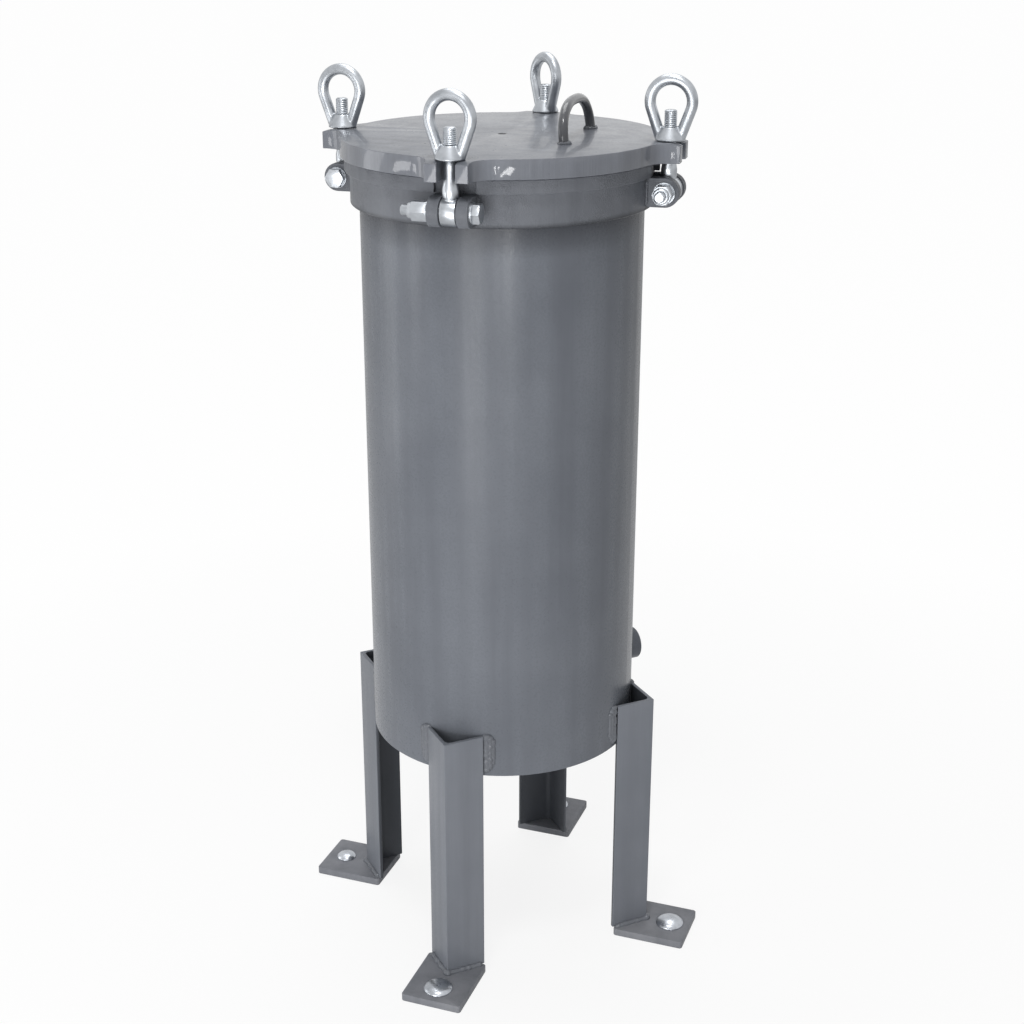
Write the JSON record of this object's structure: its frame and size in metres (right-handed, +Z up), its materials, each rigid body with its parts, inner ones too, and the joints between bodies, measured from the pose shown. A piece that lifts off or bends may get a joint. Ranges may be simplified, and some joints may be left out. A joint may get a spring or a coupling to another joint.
{
  "type": "multi-cartridge filter housing",
  "caption": "Upright steel filter housing on angle legs, with a lugged lid clamped by swing bolts and lifting-eye nuts.",
  "frame": {"origin": "on the floor under the axis of the shell", "axes": "+Z up along the shell; +X towards the right leg; -Y towards the front leg"},
  "size_m": [0.4284, 0.4284, 0.9026],
  "materials": {
    "grey_paint": "semi-gloss",
    "lid_paint": "semi-gloss",
    "zinc": "bright zinc",
    "stainless": "satin",
    "rubber": "matte",
    "felt": "matte"
  },
  "bodies": {
    "housing": {"shell_tube": "grey_paint", "bottom_plate": "grey_paint", "closure_ring": "grey_paint", "closure_seal": "rubber", "clevis_front": "grey_paint", "clevis_right": "grey_paint", "clevis_rear": "grey_paint", "clevis_left": "grey_paint", "hinge_pin_front": "zinc", "hinge_pin_right": "zinc", "hinge_pin_rear": "zinc", "hinge_pin_left": "zinc", "pin_nut_front": "zinc", "pin_nut_right": "zinc", "pin_nut_rear": "zinc", "pin_nut_left": "zinc", "pin_washers": "zinc", "leg_front": "grey_paint", "leg_right": "grey_paint", "leg_rear": "grey_paint", "leg_left": "grey_paint", "foot_plate_front": "grey_paint", "foot_plate_right": "grey_paint", "foot_plate_rear": "grey_paint", "foot_plate_left": "grey_paint", "inlet_socket": "grey_paint", "outlet_socket": "grey_paint", "drain_socket": "grey_paint", "seat_ring": "stainless", "sheet_gasket": "rubber", "tube_sheet": "stainless", "sheet_screws": "stainless", "cartridge_centre": "felt", "cartridge_1": "felt", "cartridge_2": "felt", "cartridge_3": "felt", "cartridge_4": "felt", "cartridge_5": "felt", "cartridge_6": "felt", "hold_down_plate": "stainless", "tie_rods": "stainless", "tie_rod_washers": "stainless", "tie_rod_nuts": "stainless"},
    "lid": {"lid_plate": "lid_paint", "lid_lug_front": "lid_paint", "lid_lug_right": "lid_paint", "lid_lug_rear": "lid_paint", "lid_lug_left": "lid_paint", "lid_handle": "grey_paint"},
    "bolt_front": {"swing_bolt_front": "zinc"},
    "nut_front": {"eye_nut_front": "zinc"},
    "bolt_right": {"swing_bolt_right": "zinc"},
    "nut_right": {"eye_nut_right": "zinc"},
    "bolt_rear": {"swing_bolt_rear": "zinc"},
    "nut_rear": {"eye_nut_rear": "zinc"},
    "bolt_left": {"swing_bolt_left": "zinc"},
    "nut_left": {"eye_nut_left": "zinc"}
  },
  "joints": [
    {"name": "lid_lift", "type": "slide", "parent": "housing", "child": "lid", "axis": [0, 0, 1], "range_m": [0, 0.014]},
    {"name": "bolt_swing_front", "type": "hinge", "parent": "housing", "child": "bolt_front", "pos_m": [0.01123, -0.16061, 0.797], "axis": [0.9976, 0.0698, 0], "range_deg": [0, 165]},
    {"name": "nut_run_front", "type": "slide", "parent": "bolt_front", "child": "nut_front", "axis": [0, 0, 1], "range_m": [0, 0.014]},
    {"name": "bolt_swing_right", "type": "hinge", "parent": "housing", "child": "bolt_right", "pos_m": [0.16061, 0.01123, 0.797], "axis": [-0.0698, 0.9976, 0], "range_deg": [0, 165]},
    {"name": "nut_run_right", "type": "slide", "parent": "bolt_right", "child": "nut_right", "axis": [0, 0, 1], "range_m": [0, 0.014]},
    {"name": "bolt_swing_rear", "type": "hinge", "parent": "housing", "child": "bolt_rear", "pos_m": [-0.01123, 0.16061, 0.797], "axis": [-0.9976, -0.0698, 0], "range_deg": [0, 165]},
    {"name": "nut_run_rear", "type": "slide", "parent": "bolt_rear", "child": "nut_rear", "axis": [0, 0, 1], "range_m": [0, 0.014]},
    {"name": "bolt_swing_left", "type": "hinge", "parent": "housing", "child": "bolt_left", "pos_m": [-0.16061, -0.01123, 0.797], "axis": [0.0698, -0.9976, 0], "range_deg": [0, 165]},
    {"name": "nut_run_left", "type": "slide", "parent": "bolt_left", "child": "nut_left", "axis": [0, 0, 1], "range_m": [0, 0.014]}
  ],
  "couplings": [
    {"joint": "nut_run_front", "follows": "lid_lift", "ratio": 1},
    {"joint": "nut_run_right", "follows": "lid_lift", "ratio": 1},
    {"joint": "nut_run_rear", "follows": "lid_lift", "ratio": 1},
    {"joint": "nut_run_left", "follows": "lid_lift", "ratio": 1}
  ]
}
